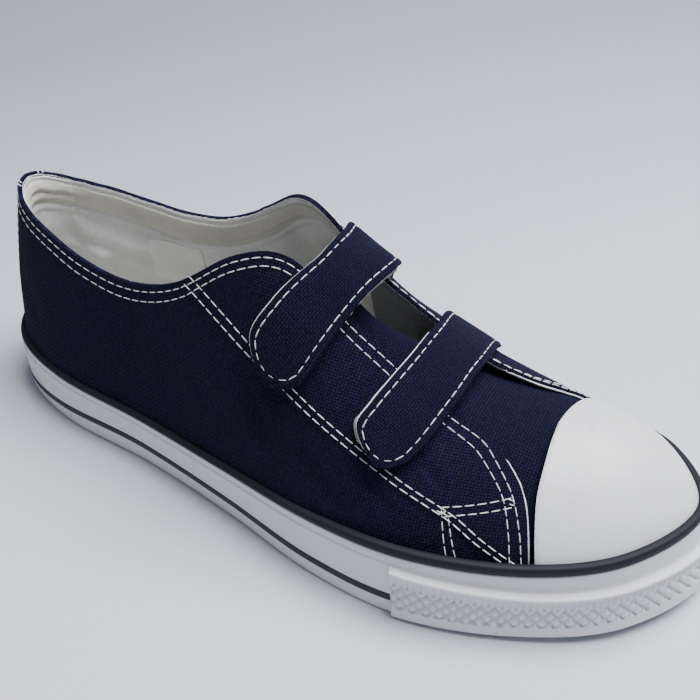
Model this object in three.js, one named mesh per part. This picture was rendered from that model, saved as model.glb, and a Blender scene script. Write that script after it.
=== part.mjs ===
// Low canvas sneaker for the right foot with two hook-and-loop straps, a rubber
// toe cap and a rubber side band. Millimetres, +Z up, toe towards +X, outer side
// of the foot towards -Y. The sole rests on z = 0.
import * as THREE from 'three';
import { mergeVertices } from 'three/addons/utils/BufferGeometryUtils.js';

// ---- driving dimensions ----
const fitGap = 0.3;            // clearance between touching pieces
const wallThickness = 1.8;     // canvas, lining and foam of the upper
const soleThickness = 5.7;     // outsole at heel and forefoot
const insoleThickness = 4.2;
const bandThickness = 3.0;     // rubber side band
const bandBottom = 0.5;        // side band starts this far above the tread
const stripeHeight = 2.5;      // dark bead on top of the side band
const bumperThickness = 1.9;
const bumperStart = 5.92;      // place along the outline where the bumper ends
const bumperHeight = { end: 19, toe: 16.2 };
const capThickness = 1.5;
const tongueThickness = 2.4;
const strapThickness = 2.6;
const padThickness = 1.4;      // hook-and-loop layer under a strap end
const toeSpring = 4.2;         // rise of the sole at the very toe
const heelSpring = 1.9;
const archRise = 1.6;          // hollow of the outsole under the waist
const grooveDepth = 1.6;
const grooveWidth = 2.6;
const groovePitch = 8.5;
const treads = [{ from: -104, to: -60 }, { from: 14, to: 100 }];
const middleOfBox = { x: 4.4, y: -2.3 };   // centre of the finished shoe's box

// ---- the last: one row per section, heel to toe ----
// x, outer, inner: top edge of the side band on the -Y and +Y sides
// tuckOuter, tuckInner: how far the band's bottom edge lies inside its top edge
// spineX, spineZ: where the section reaches the ridge; lean: how early it turns in
// band: height of the side band
const sections = [
  { x: -122.6, outer: 0, inner: 0, tuckOuter: 0, tuckInner: 0, spineX: -92, spineZ: 105, lean: 0.1, band: 21 },
  { x: -112.5, outer: -20.1, inner: 20, tuckOuter: 0.4, tuckInner: 0.4, spineX: -90, spineZ: 100, lean: 0.28, band: 21.2 },
  { x: -85, outer: -30.8, inner: 29.3, tuckOuter: 0.6, tuckInner: 0.8, spineX: -80, spineZ: 100, lean: 0.34, band: 21.2 },
  { x: -47, outer: -34.6, inner: 37.5, tuckOuter: 1.6, tuckInner: 3.2, spineX: -47, spineZ: 101, lean: 0.32, band: 20.4 },
  { x: -10, outer: -40.9, inner: 43.8, tuckOuter: 2, tuckInner: 3.8, spineX: -10, spineZ: 96.5, lean: 0.25, band: 21.2 },
  { x: 25, outer: -47.3, inner: 43.3, tuckOuter: 0.4, tuckInner: 1.8, spineX: 25, spineZ: 69.2, lean: 0.25, band: 22.8 },
  { x: 56, outer: -47.4, inner: 43.2, tuckOuter: -0.4, tuckInner: 0, spineX: 54, spineZ: 51.9, lean: 0.22, band: 23.4 },
  { x: 88, outer: -37.6, inner: 36.7, tuckOuter: -0.8, tuckInner: -0.8, spineX: 76, spineZ: 46.2, lean: 0.21, band: 22.8 },
  { x: 112, outer: -21.2, inner: 27, tuckOuter: -2.8, tuckInner: -2.8, spineX: 86, spineZ: 45.7, lean: 0.21, band: 22.8 },
  { x: 125, outer: 4.7, inner: 4.7, tuckOuter: -4.4, tuckInner: -4.4, spineX: 89, spineZ: 45.2, lean: 0.2, band: 22.8 },
];
const sideInset = 3.4;         // outside of the upper lies this far inside the band
const floorOfUpper = 6;        // height of the upper's lower edge over the tread line
const risePower = 1.05;        // fullness of a section on its way up

// ---- edge of the opening: rise angle at places along the outline ----
const openingEdge = [
  { at: 0, outer: 0.735, inner: 0.735 },
  { at: 1, outer: 0.735, inner: 0.725 },
  { at: 1.8, outer: 0.69, inner: 0.685 },
  { at: 2.6, outer: 0.602, inner: 0.59 },
  { at: 3, outer: 0.62, inner: 0.61 },
  { at: 3.45, outer: 0.735, inner: 0.745 },
  { at: 3.9, outer: 0.975, inner: 0.99 },
  { at: 4.3, outer: 1.19, inner: 1.17 },
  { at: 4.7, outer: 1.245, inner: 1.24 },
  { at: 5.4, outer: 1.255, inner: 1.265 },
  { at: 6.1, outer: 1.17, inner: 1.215 },
];
const throatEnd = 6.6;         // front point of the throat

// ---- rear edge of the toe cap ----
const capEdge = [
  { at: 0, place: 7.06 },
  { at: 0.5, place: 7.01 },
  { at: 0.9, place: 6.99 },
  { at: 1.2, place: 7.08 },
  { at: Math.PI / 2, place: 7.29 },
];

// ---- straps: one row per station, from the loose end over the ridge ----
// over: 0 at the outer sole edge, pi/2 at the ridge, pi at the inner sole edge
// rear, front: place along the outline of both strap edges; lift: height over the upper
const rearStrap = [
  { over: 0.55, rear: 4.2, front: 4.6, liftRear: 2.1, liftFront: 2.1 },
  { over: 0.7, rear: 4.19, front: 4.71, liftRear: 2.1, liftFront: 2.1 },
  { over: 0.9, rear: 4.3, front: 4.79, liftRear: 2.1, liftFront: 2.3 },
  { over: 1.17, rear: 4.43, front: 4.87, liftRear: 1.4, liftFront: 2.6 },
  { over: 1.4, rear: 4.5, front: 4.91, liftRear: 1.4, liftFront: 3.6 },
  { over: 1.74, rear: 4.5, front: 4.92, liftRear: 1.8, liftFront: 4.8 },
  { over: 2, rear: 4.42, front: 4.86, liftRear: 1.8, liftFront: 4.8 },
  { over: 2.25, rear: 4.31, front: 4.77, liftRear: 1, liftFront: 2.4 },
  { over: 2.5, rear: 4.2, front: 4.67, liftRear: 0.5, liftFront: 0.5 },
];
const frontStrap = [
  { over: 0.58, rear: 5.34, front: 5.7, liftRear: 2.1, liftFront: 2.1 },
  { over: 0.72, rear: 5.24, front: 5.79, liftRear: 2.1, liftFront: 2.1 },
  { over: 0.88, rear: 5.29, front: 5.88, liftRear: 2.1, liftFront: 2.1 },
  { over: 1.12, rear: 5.37, front: 5.96, liftRear: 1.5, liftFront: 2.1 },
  { over: 1.4, rear: 5.44, front: 6.03, liftRear: 2, liftFront: 2.6 },
  { over: 1.74, rear: 5.46, front: 6.05, liftRear: 2.8, liftFront: 3 },
  { over: 2.05, rear: 5.4, front: 6, liftRear: 2.6, liftFront: 2.4 },
  { over: 2.35, rear: 5.31, front: 5.93, liftRear: 1.6, liftFront: 1.2 },
  { over: 2.62, rear: 5.23, front: 5.84, liftRear: 0.5, liftFront: 0.5 },
];

// ---- helpers on the tables ----
const lastPlace = sections.length - 1;   // place of the toe; the heel is 0
const fullTurn = 2 * lastPlace;          // the inner side runs back from toe to heel
const halfSteps = 42;                    // facets along one side of the sole

function cubic(a, b, c, d, t) {
  return 0.5 * (2 * b + (c - a) * t + (2 * a - 5 * b + 4 * c - d) * t * t + (3 * b - a - 3 * c + d) * t * t * t);
}

// value round the whole outline: outer side from heel to toe, inner side back
function around(place, outerKey, innerKey = outerKey) {
  const turn = ((place % fullTurn) + fullTurn) % fullTurn;
  const low = Math.floor(turn);
  const pick = (step) => {
    const n = (low + step + fullTurn) % fullTurn;
    return n <= lastPlace ? sections[n][outerKey] : sections[fullTurn - n][innerKey];
  };
  return cubic(pick(-1), pick(0), pick(1), pick(2), turn - low);
}

// smooth value between the rows of a small table with uneven steps
function along(rows, place, column, key = 'at') {
  const last = rows.length - 1;
  let low = 0;
  while (low < last - 1 && place > rows[low + 1][key]) low += 1;
  const slope = (n) => {
    const a = rows[Math.max(0, n - 1)];
    const b = rows[Math.min(last, n + 1)];
    return (b[column] - a[column]) / (b[key] - a[key]);
  };
  const step = rows[low + 1][key] - rows[low][key];
  const t = THREE.MathUtils.clamp((place - rows[low][key]) / step, 0, 1);
  const a = rows[low][column];
  const b = rows[low + 1][column];
  const t2 = t * t;
  const t3 = t2 * t;
  return a * (2 * t3 - 3 * t2 + 1) + b * (3 * t2 - 2 * t3)
    + step * (slope(low) * (t3 - 2 * t2 + t) + slope(low + 1) * (t3 - t2));
}

// rise of the tread line over the floor
function springAt(x) {
  const toe = Math.max(0, (x - 40) / 85);
  const heel = Math.max(0, (-100 - x) / 25);
  return toeSpring * toe * toe + heelSpring * heel * heel;
}

// point of the band's top outline and the direction out of it
function outline(place) {
  const x = around(place, 'x');
  const y = around(place, 'outer', 'inner');
  const step = 0.001;
  const dx = around(place + step, 'x') - around(place - step, 'x');
  const dy = around(place + step, 'outer', 'inner') - around(place - step, 'outer', 'inner');
  const size = Math.hypot(dx, dy);
  return { x, y, outX: dy / size, outY: -dx / size };
}

// point of the side wall of the sole, a height over the tread line, out from the band's face
function wallPoint(place, height, out) {
  const o = outline(place);
  const share = 1 - THREE.MathUtils.clamp(height / around(place, 'band'), 0, 1);
  const move = out - around(place, 'tuckOuter', 'tuckInner') * share;
  return new THREE.Vector3(o.x + o.outX * move, o.y + o.outY * move, height + springAt(o.x));
}

// point of the last: place along the outline, rise 0 at the band's top edge to pi/2 at
// the ridge, and below 0 down inside the band to the upper's lower edge at -1
function lastPoint(place, rise, offset) {
  const row = place <= lastPlace ? place : fullTurn - place;
  const spring = springAt(outline(place).x);
  const band = around(place, 'band');
  if (rise < 0) return wallPoint(place, band + (band - floorOfUpper) * rise, offset - sideInset);
  const up = Math.pow(Math.sin(rise), risePower);
  const lean = around(row, 'lean');
  const inward = lean * up + (1 - lean) * (1 - Math.cos(rise));
  const low = spring + band;
  const foot = wallPoint(place, band, offset - sideInset);
  const spineY = 0.35 * (around(row, 'outer') + around(row, 'inner'));
  const x = foot.x + (around(row, 'spineX') - foot.x) * inward;
  const y = foot.y + (spineY - foot.y) * inward;
  return new THREE.Vector3(x, y, low + (around(row, 'spineZ') + offset - low) * up);
}

// the same surface, walked from the outer sole edge over the ridge to the inner one
function overPoint(place, over, offset) {
  return over <= Math.PI / 2
    ? lastPoint(place, over, offset)
    : lastPoint(fullTurn - place, Math.PI - over, offset);
}

function openingRise(place) {
  const row = place <= lastPlace ? place : fullTurn - place;
  const column = place <= lastPlace ? 'outer' : 'inner';
  const tail = openingEdge[openingEdge.length - 1];
  if (row <= tail.at) return along(openingEdge, row, column);
  const t = THREE.MathUtils.clamp((row - tail.at) / (throatEnd - tail.at), 0, 1);
  return tail[column] + (Math.PI / 2 - tail[column]) * t * t;
}

// ---- solids ----
function solidOf(positions, faces) {
  let volume = 0;
  for (const [a, b, c] of faces) {
    volume += positions[a].dot(new THREE.Vector3().crossVectors(positions[b], positions[c]));
  }
  const index = faces.flatMap(([a, b, c]) => (volume < 0 ? [a, c, b] : [a, b, c]));
  const geometry = new THREE.BufferGeometry();
  geometry.setAttribute('position', new THREE.Float32BufferAttribute(positions.flatMap((p) => p.toArray()), 3));
  geometry.setIndex(index);
  const merged = mergeVertices(geometry, 1e-3);
  const old = Array.from(merged.index.array);
  const kept = old.filter((_, n) => {
    const [a, b, c] = old.slice(n - (n % 3), n - (n % 3) + 3);
    return a !== b && b !== c && c !== a;
  });
  merged.setIndex(kept);
  return merged;
}

// wall between two grids of the same size; loops round when closed is true
function wallSolid(outerGrid, innerGrid, closed = false, weldedTop = () => false) {
  const count = outerGrid.length;
  const high = outerGrid[0].length;
  const positions = [...outerGrid.flat(), ...innerGrid.flat()];
  const shift = count * high;
  const faces = [];
  const quad = (a, b, c, d) => faces.push([a, b, c], [a, c, d]);
  const last = closed ? count : count - 1;
  for (let i = 0; i < last; i += 1) {
    const k = (i + 1) % count;
    for (let j = 0; j < high - 1; j += 1) {
      quad(i * high + j, k * high + j, k * high + j + 1, i * high + j + 1);
      quad(shift + i * high + j, shift + i * high + j + 1, shift + k * high + j + 1, shift + k * high + j);
    }
    quad(shift + i * high, shift + k * high, k * high, i * high);
    const top = high - 1;
    if (!weldedTop(i, k)) quad(i * high + top, k * high + top, shift + k * high + top, shift + i * high + top);
  }
  if (!closed) {
    for (let j = 0; j < high - 1; j += 1) {
      const end = (count - 1) * high + j;
      quad(j, j + 1, shift + j + 1, shift + j);
      quad(end + 1, end, shift + end, shift + end + 1);
    }
  }
  return solidOf(positions, faces);
}

// ring or strip with a constant section: corner(place) gives the section's corners in order
function sectionSolid(places, corners, closed) {
  const rows = places.map(corners);
  const size = rows[0].length;
  const positions = rows.flat();
  const faces = [];
  const last = closed ? rows.length : rows.length - 1;
  for (let i = 0; i < last; i += 1) {
    const k = (i + 1) % rows.length;
    for (let j = 0; j < size; j += 1) {
      const n = (j + 1) % size;
      faces.push([i * size + j, k * size + j, k * size + n], [i * size + j, k * size + n, i * size + n]);
    }
  }
  if (!closed) {
    const end = (rows.length - 1) * size;
    for (let j = 1; j < size - 1; j += 1) {
      faces.push([0, j, j + 1], [end, end + j + 1, end + j]);
    }
  }
  return solidOf(positions, faces);
}

function steps(from, to, count) {
  return Array.from({ length: count + 1 }, (_, n) => from + ((to - from) * n) / count);
}

// place along the outer side at a distance along the shoe
function placeOf(x) {
  let low = 0;
  let high = lastPlace;
  for (let n = 0; n < 40; n += 1) {
    const middle = (low + high) / 2;
    if (around(middle, 'x') < x) low = middle;
    else high = middle;
  }
  return (low + high) / 2;
}

// plate between the two sides of the outline; relief(station, column) raises its underside
function plateSolid(stations, shares, out, bottomAt, topAt, relief = () => 0) {
  const edge = (x, height, inner) => {
    const place = placeOf(x);
    return wallPoint(inner ? fullTurn - place : place, height, out);
  };
  const positions = [];
  const faces = [];
  const quad = (a, b, c, d) => faces.push([a, b, c], [a, c, d]);
  const size = shares.length + 2;
  for (const [n, station] of stations.entries()) {
    const low = bottomAt(station);
    const high = topAt(station);
    const bottom = [edge(station, low, false), edge(station, low, true)];
    for (const [k, share] of shares.entries()) {
      const point = bottom[0].clone().lerp(bottom[1], share);
      point.z += relief(n, k);
      positions.push(point);
    }
    positions.push(edge(station, high, false), edge(station, high, true));
    if (n === 0) continue;
    const now = n * size;
    const back = now - size;
    for (let k = 0; k < shares.length - 1; k += 1) {
      quad(back + k, back + k + 1, now + k + 1, now + k);
    }
    const outerTop = size - 2;
    const innerTop = size - 1;
    quad(back + outerTop, back, now, now + outerTop);
    quad(back + innerTop - 2, back + innerTop, now + innerTop, now + innerTop - 2);
    quad(back + innerTop, back + outerTop, now + outerTop, now + innerTop);
  }
  return solidOf(positions, faces);
}

const heelEnd = [-122.6, -122.1, -120.6, -118, -114.4, -110.2];
const toeEnd = [106, 111, 116, 120, 123, 124.6, 125];

function makeOutsole() {
  const stations = heelEnd.map((x) => ({ x, cut: 0 }));
  for (const { from, to } of treads) {
    const count = Math.round((to - from) / groovePitch);
    for (const x of steps(from, to, count)) {
      for (const side of [-1, -0.75, 0.75, 1]) {
        stations.push({ x: x + (side * grooveWidth) / 2, cut: Math.abs(side) < 1 ? 1 : 0 });
      }
    }
    if (from < 0) stations.push(...steps(to + 6, treads[1].from - 6, 9).map((x) => ({ x, cut: 0 })));
  }
  stations.push(...toeEnd.map((x) => ({ x, cut: 0 })));
  const rim = 0.13;
  const shares = [0, rim, rim + 0.01, 0.49, 0.5, 0.51, 1 - rim - 0.01, 1 - rim, 1];
  const inside = (k) => k > 1 && k < shares.length - 2 && k !== 4;
  const hollow = (x) => {
    const t = THREE.MathUtils.clamp((x + 54) / 60, 0, 1);
    return archRise * Math.sin(Math.PI * t) ** 2;
  };
  return plateSolid(
    stations.map((station) => station.x),
    shares,
    -bandThickness - fitGap,
    hollow,
    () => soleThickness,
    (n, k) => (stations[n].cut && inside(k) ? grooveDepth : 0),
  );
}

function makeInsole() {
  const base = soleThickness + fitGap;
  const stations = [...heelEnd, ...steps(-104, 100, 32), ...toeEnd];
  const out = -sideInset - wallThickness - 1.6;
  return plateSolid(stations, [0, 0.5, 1], out, () => base, () => base + insoleThickness);
}

function makeBand() {
  return sectionSolid(steps(0, fullTurn, 2 * halfSteps).slice(0, -1), (place) => {
    const top = around(place, 'band');
    return [
      wallPoint(place, bandBottom + 1, 0),
      wallPoint(place, top - 0.8, 0),
      wallPoint(place, top, -0.8),
      wallPoint(place, top, -bandThickness),
      wallPoint(place, bandBottom, -bandThickness),
      wallPoint(place, bandBottom, -0.8),
    ];
  }, true);
}

function makeStripe() {
  const low = fitGap;
  const high = low + stripeHeight;
  return sectionSolid(steps(0, fullTurn, 2 * halfSteps).slice(0, -1), (place) => {
    const top = around(place, 'band');
    return [
      wallPoint(place, top + low, -0.7),
      wallPoint(place, top + low + 0.9, -0.35),
      wallPoint(place, top + high - 0.8, -0.7),
      wallPoint(place, top + high, -1.6),
      wallPoint(place, top + high, -2.4),
      wallPoint(place, top + low, -2.6),
    ];
  }, true);
}

function makeBumper() {
  const inner = fitGap;
  const outer = inner + bumperThickness;
  return sectionSolid(steps(bumperStart, fullTurn - bumperStart, 40), (place) => {
    const row = place <= lastPlace ? place : fullTurn - place;
    const share = (row - bumperStart) / (lastPlace - bumperStart);
    const top = THREE.MathUtils.lerp(bumperHeight.end, bumperHeight.toe, Math.min(1, 3 * share));
    return [
      wallPoint(place, bandBottom, outer - 0.6),
      wallPoint(place, bandBottom + 0.8, outer),
      wallPoint(place, top - 0.8, outer),
      wallPoint(place, top, outer - 0.8),
      wallPoint(place, top, inner),
      wallPoint(place, bandBottom, inner),
    ];
  }, false);
}

function makeUpper() {
  const half = [...steps(0, 4.4, 15), ...steps(4.7, throatEnd, 7), ...steps(6.9, lastPlace, 8)];
  const places = [...half, ...half.slice(1, -1).reverse().map((place) => fullTurn - place)];
  const high = 10;
  const skirt = [-1, -0.5];
  const grid = (offset) => places.map((place) => [...skirt, ...steps(0, 1, high).map((share) => (
    share * openingRise(place)
  ))].map((rise) => lastPoint(place, rise, offset)));
  const atRidge = places.map((place) => openingRise(place) > Math.PI / 2 - 1e-9);
  return wallSolid(grid(0), grid(-wallThickness), true, (i, k) => atRidge[i] && atRidge[k]);
}

function makeToeCap() {
  const low = 0.15;
  const rises = [...steps(low, 1.35, 9), Math.PI / 2];
  const columns = steps(0, 2, 20);
  const grid = (offset) => columns.map((column) => rises.map((rise) => {
    const start = along(capEdge, rise, 'place');
    const share = column <= 1 ? column : 2 - column;
    const place = start + (lastPlace - start) * share;
    return lastPoint(column <= 1 ? place : fullTurn - place, rise, offset);
  }));
  return wallSolid(grid(fitGap + capThickness), grid(fitGap), false, () => true);
}

function makeTongue() {
  const places = steps(4.72, 6.62, 12);
  const top = -wallThickness - fitGap - 0.2;
  const grid = (offset) => places.map((place) => steps(0, 1, 10).map((share) => {
    const from = openingRise(Math.min(place, 6.1)) - 0.28;
    return overPoint(place, from + (Math.PI - 2 * from) * share, offset);
  }));
  return wallSolid(grid(top), grid(top - tongueThickness));
}

// band over the instep with a round loose end
function makeStrap(table) {
  const tip = table[0].over;
  const roundEnd = 0.17;
  const stations = [0.004, 0.02, 0.05, 0.1, 0.17].map((step) => tip + step);
  const overs = [...stations, ...steps(tip + 0.26, table[table.length - 1].over, 15)];
  const grid = (extra) => overs.map((over) => {
    const reach = Math.min(1, (over - tip) / roundEnd);
    const half = 0.5 * Math.sqrt(1 - (1 - reach) ** 2);
    return steps(0.5 - half, 0.5 + half, 6).map((share) => {
      const mix = (a, b) => THREE.MathUtils.lerp(along(table, over, a, 'over'), along(table, over, b, 'over'), share);
      return overPoint(mix('rear', 'front'), over, mix('liftRear', 'liftFront') + extra);
    });
  });
  return wallSolid(grid(strapThickness), grid(0));
}

// hook-and-loop patch between the strap end and the upper
function makePad(table) {
  const tip = table[0].over;
  const grid = (offset) => steps(tip + 0.09, tip + 0.36, 6).map((over) => steps(0.16, 0.84, 5).map((share) => {
    const place = THREE.MathUtils.lerp(along(table, over, 'rear', 'over'), along(table, over, 'front', 'over'), share);
    return overPoint(place, over, offset);
  }));
  return wallSolid(grid(fitGap + padThickness), grid(fitGap));
}

// ---- assembly ----
const navy = { color: 0x1a1c40, roughness: 0.9, metalness: 0 };
const whiteRubber = { color: 0xd9dbe0, roughness: 0.45, metalness: 0 };
const pieces = [
  { name: 'outsole', geometry: makeOutsole(), look: whiteRubber },
  { name: 'foxing', geometry: makeBand(), look: whiteRubber },
  { name: 'foxing_stripe', geometry: makeStripe(), look: { color: 0x2a2c3b, roughness: 0.5, metalness: 0 } },
  { name: 'toe_bumper', geometry: makeBumper(), look: whiteRubber },
  { name: 'insole', geometry: makeInsole(), look: { color: 0xc9cac6, roughness: 0.95, metalness: 0 } },
  { name: 'upper', geometry: makeUpper(), look: navy },
  { name: 'toe_cap', geometry: makeToeCap(), look: whiteRubber },
  { name: 'tongue', geometry: makeTongue(), look: navy },
  { name: 'strap_rear', geometry: makeStrap(rearStrap), look: navy },
  { name: 'strap_front', geometry: makeStrap(frontStrap), look: navy },
  { name: 'closure_rear', geometry: makePad(rearStrap), look: { color: 0xc4c5c6, roughness: 1, metalness: 0 } },
  { name: 'closure_front', geometry: makePad(frontStrap), look: { color: 0xc4c5c6, roughness: 1, metalness: 0 } },
];

const group = new THREE.Group();
for (const piece of pieces) {
  const mesh = new THREE.Mesh(piece.geometry, new THREE.MeshStandardMaterial(piece.look));
  mesh.name = piece.name;
  mesh.position.set(-middleOfBox.x, -middleOfBox.y, 0);
  group.add(mesh);
}

export default group;
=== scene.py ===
import math

import bmesh
import bpy
import numpy as np
from mathutils import Matrix, Vector


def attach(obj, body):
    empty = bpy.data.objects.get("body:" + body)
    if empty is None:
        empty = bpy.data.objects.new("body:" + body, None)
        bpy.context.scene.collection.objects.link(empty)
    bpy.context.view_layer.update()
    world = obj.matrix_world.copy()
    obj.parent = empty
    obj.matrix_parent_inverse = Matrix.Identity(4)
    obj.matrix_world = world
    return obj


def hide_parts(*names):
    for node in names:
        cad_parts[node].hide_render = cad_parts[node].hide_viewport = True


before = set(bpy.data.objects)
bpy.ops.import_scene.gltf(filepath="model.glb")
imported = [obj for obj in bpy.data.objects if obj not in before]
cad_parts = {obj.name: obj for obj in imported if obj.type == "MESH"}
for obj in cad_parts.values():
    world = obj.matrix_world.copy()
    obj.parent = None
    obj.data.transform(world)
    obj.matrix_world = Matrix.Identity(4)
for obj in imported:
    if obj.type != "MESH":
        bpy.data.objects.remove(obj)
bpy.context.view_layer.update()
print("frame loaded")

# the last, in millimetres: one value per section from heel to toe. The band's foot lies tucked in under
# its top, the spine is the ridge over the foot, and lean is how soon the wall turns in towards it
last = {
    "x": [-122.6, -112.5, -85, -47, -10, 25, 56, 88, 112, 125],
    "outer": [0, -20.1, -30.8, -34.6, -40.9, -47.3, -47.4, -37.6, -21.2, 4.7],
    "inner": [0, 20, 29.3, 37.5, 43.8, 43.3, 43.2, 36.7, 27, 4.7],
    "tuckOuter": [0, 0.2, 0.2, 0.5, 0.6, -0.8, -1.7, -2.0, -3.2, -4.4],
    "tuckInner": [0, 0.4, 0.8, 3.2, 3.8, 1.8, 0, -0.8, -2.8, -4.4],
    "spineX": [-92, -90, -80, -47, -10, 25, 54, 76, 86, 89],
    "spineZ": [105, 100, 100, 101, 96.5, 69.2, 51.9, 46.2, 45.7, 45.2],
    "lean": [0.1, 0.28, 0.34, 0.32, 0.25, 0.25, 0.22, 0.21, 0.21, 0.2],
    "band": [21, 21.2, 21.2, 20.4, 21.2, 22.8, 23.4, 22.8, 22.8, 22.8],
    "toeSpring": 4.2,
    "heelSpring": 1.9,
    "sideInset": 3.4,       # canvas lies this far inside the rubber band
    "floor": 6,             # lower edge of the canvas over the tread line
    "fullness": 1.05,
    "middle": (4.4, -2.3),  # middle of the shoe's box
}
lastRow = 9                 # place of the toe along the outline; the heel is 0
ring = 2 * lastRow          # negative places run along the inner side


def cubic(a, b, c, d, t):
    return 0.5 * (2 * b + (c - a) * t + (2 * a - 5 * b + 4 * c - d) * t**2 + (3 * b - a - 3 * c + d) * t**3)


def around(place, outer, inner=None):
    # value round the outline, outer side from heel to toe and inner side back
    loop = np.array(last[outer] + last[inner or outer][lastRow - 1:0:-1], float)
    place = np.asarray(place, float) % ring
    low = np.floor(place).astype(int)
    picked = [loop[(low + step) % ring] for step in (-1, 0, 1, 2)]
    return cubic(*picked, place - low)


def matched(*values):
    return np.broadcast_arrays(*(np.asarray(value, float) for value in values))


def unit(vectors):
    return vectors / np.maximum(np.linalg.norm(vectors, axis=-1, keepdims=True), 1e-9)


def walked(steps):
    # distance from the start after each step
    return np.concatenate([[0], np.cumsum(steps)])


def ramp(distance, length):
    # 0 up to the start, and 1 from the length on
    return np.clip(distance / length, 0, 1)


def fromHeel(place):
    # a place without its side: 0 at the heel, 9 at the toe
    return np.abs((place + lastRow) % ring - lastRow)


def along(keys, values, at):
    # smooth value through a short table with uneven steps
    keys, values, at = np.asarray(keys, float), np.asarray(values, float), np.asarray(at, float)
    ends = len(keys) - 1
    slopes = np.array([
        (values[min(ends, n + 1)] - values[max(0, n - 1)]) / (keys[min(ends, n + 1)] - keys[max(0, n - 1)])
        for n in range(ends + 1)
    ])
    low = np.clip(np.searchsorted(keys, at, side="right") - 1, 0, ends - 1)
    step = keys[low + 1] - keys[low]
    t = np.clip((at - keys[low]) / step, 0, 1)
    value = values[low] * (2 * t**3 - 3 * t**2 + 1) + values[low + 1] * (3 * t**2 - 2 * t**3)
    return value + step * (slopes[low] * (t**3 - 2 * t**2 + t) + slopes[low + 1] * (t**3 - t**2))


def springAt(x):
    toe = np.maximum(0, (x - 40) / 85)
    heel = np.maximum(0, (-100 - x) / 25)
    return last["toeSpring"] * toe**2 + last["heelSpring"] * heel**2


def outline(place):
    step = 0.001
    dx = around(place + step, "x") - around(place - step, "x")
    dy = around(place + step, "outer", "inner") - around(place - step, "outer", "inner")
    size = np.hypot(dx, dy)
    return around(place, "x"), around(place, "outer", "inner"), dy / size, -dx / size


def wallPoint(place, height, out):
    # side of the sole: a height over the tread line, out from the band's face
    place = np.asarray(place, float)
    x, y, outX, outY = outline(place)
    share = 1 - np.clip(height / around(place, "band"), 0, 1)
    move = out - around(place, "tuckOuter", "tuckInner") * share
    return np.stack([x + outX * move, y + outY * move, height + springAt(x)], -1)


def lastPoint(place, rise, offset):
    # surface of the last: rise 0 at the band's top edge, pi/2 at the ridge, down to -1 inside the band
    place, rise, offset = matched(place, rise, offset)
    row = fromHeel(place)
    band = around(place, "band")
    below = wallPoint(place, band + (band - last["floor"]) * np.minimum(rise, 0), offset - last["sideInset"])
    foot = wallPoint(place, band, offset - last["sideInset"])
    climb = np.clip(rise, 0, math.pi / 2)
    up = np.sin(climb) ** last["fullness"]
    lean = around(row, "lean")
    inward = lean * up + (1 - lean) * (1 - np.cos(climb))
    spine = np.stack([
        around(row, "spineX"),
        0.35 * (around(row, "outer") + around(row, "inner")),
        around(row, "spineZ") + offset,
    ], -1)
    mix = np.stack([inward, inward, up], -1)
    return np.where((rise < 0)[..., None], below, foot + (spine - foot) * mix)


def overPoint(place, over, offset):
    # the same surface, from the outer sole edge over the ridge to the inner one
    place, over, offset = matched(place, over, offset)
    inner = over > math.pi / 2
    return lastPoint(np.where(inner, -place, place), np.where(inner, math.pi - over, over), offset)


def inMetres(points):
    return (points - np.array([last["middle"][0], last["middle"][1], 0])) / 1000


# edges of the canvas panels
collar = {
    "at": [0, 1, 1.8, 2.6, 3, 3.45, 3.9, 4.3, 4.7, 5.4, 6.1, 6.36, 6.7, 6.92, 7.02],
    "outer": [0.735, 0.735, 0.69, 0.602, 0.62, 0.735, 0.975, 1.19, 1.245, 1.255, 1.18, 1.15, 0.96, 0.6, -0.1],
    "inner": [0.735, 0.725, 0.685, 0.59, 0.61, 0.745, 0.99, 1.17, 1.24, 1.265, 1.215, 1.11, 0.82, 0.4, -0.1],
    "foldBack": 1.3,        # thickness of the doubled canvas, mm
}
quarterEnd = collar["at"][-1]


def edgeRise(place):
    place = np.asarray(place, float)
    row = np.abs(place)
    return np.where(
        place >= 0,
        along(collar["at"], collar["outer"], row),
        along(collar["at"], collar["inner"], row),
    )


wornCloth = {"wave": 0.35, "fine": 0.12}     # mm


def soften(place, rise):
    # slow waves of worn cloth, which die out at the band
    row = np.abs(place)
    wave = np.sin(2.3 * row + 3.1 * rise) * np.sin(1.7 * row - 4.2 * rise + 1.3)
    fine = np.sin(7.1 * row + 5.3 * rise + 0.6) * np.sin(5.9 * row - 8.7 * rise)
    return (wornCloth["wave"] * wave + wornCloth["fine"] * fine) * ramp(rise, 0.3)


# soft troughs where the canvas bends: place and rise at both ends, then width and depth in mm
canvasTroughs = {
    "placeLength": 32, "radianHeight": 50,      # mm that a place and a radian of rise measure here
    "lines": [
        (5.25, 0.5, 5.75, 0.3, 2.4, 0.9), (5.75, 0.84, 6.15, 0.62, 2.2, 0.8), (4.0, 0.5, 4.5, 0.24, 3.2, 1.0),
        (4.7, 0.34, 5.3, 0.14, 3.0, 0.8), (2.3, 0.5, 3.1, 0.28, 4.0, 0.7), (0.9, 0.4, 1.7, 0.2, 4.0, 0.6),
    ],
}


def troughDepth(place, rise):
    total = 0
    row = np.abs(place)
    long, high = canvasTroughs["placeLength"], canvasTroughs["radianHeight"]
    for fromPlace, fromRise, toPlace, toRise, width, depth in canvasTroughs["lines"]:
        x, y = (row - fromPlace) * long, (rise - fromRise) * high
        runX, runY = (toPlace - fromPlace) * long, (toRise - fromRise) * high
        share = np.clip((x * runX + y * runY) / (runX**2 + runY**2), 0, 1)
        away = np.hypot(x - share * runX, y - share * runY)
        total = total + depth * np.exp(-(away / width) ** 2) * np.sqrt(4 * share * (1 - share))
    return total


facing = {"liftOuter": 0.4, "liftInner": 2.4, "from": 4.6, "to": 6.75}      # lifts in mm


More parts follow.
